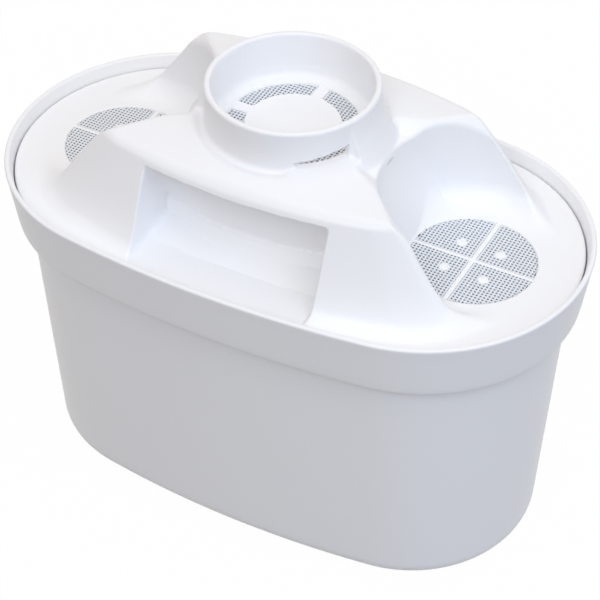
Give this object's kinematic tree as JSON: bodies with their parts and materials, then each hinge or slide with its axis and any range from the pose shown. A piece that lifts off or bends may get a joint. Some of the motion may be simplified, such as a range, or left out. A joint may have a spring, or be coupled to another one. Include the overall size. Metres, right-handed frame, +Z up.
{
  "type": "water pitcher filter cartridge",
  "caption": "Oval white filter cartridge for a water pitcher: tapered cup with a collar band, and a moulded cover with mesh windows, finger pockets and an upright ring.",
  "frame": {"origin": "centre of the base, on the surface that the cartridge stands on", "axes": "+X along the cartridge's length, +Z up towards the ring, +Y towards the back"},
  "size_m": [0.106, 0.0618, 0.0833],
  "materials": {
    "white_plastic": "gloss",
    "mesh_plastic": "satin",
    "granules": "matte"
  },
  "bodies": {
    "root": {"cup": "white_plastic", "cover": "white_plastic", "intake_mesh_left": "mesh_plastic", "intake_mesh_right": "mesh_plastic", "vent_mesh": "mesh_plastic", "outlet_mesh": "mesh_plastic", "filter_media": "granules"}
  },
  "joints": []
}
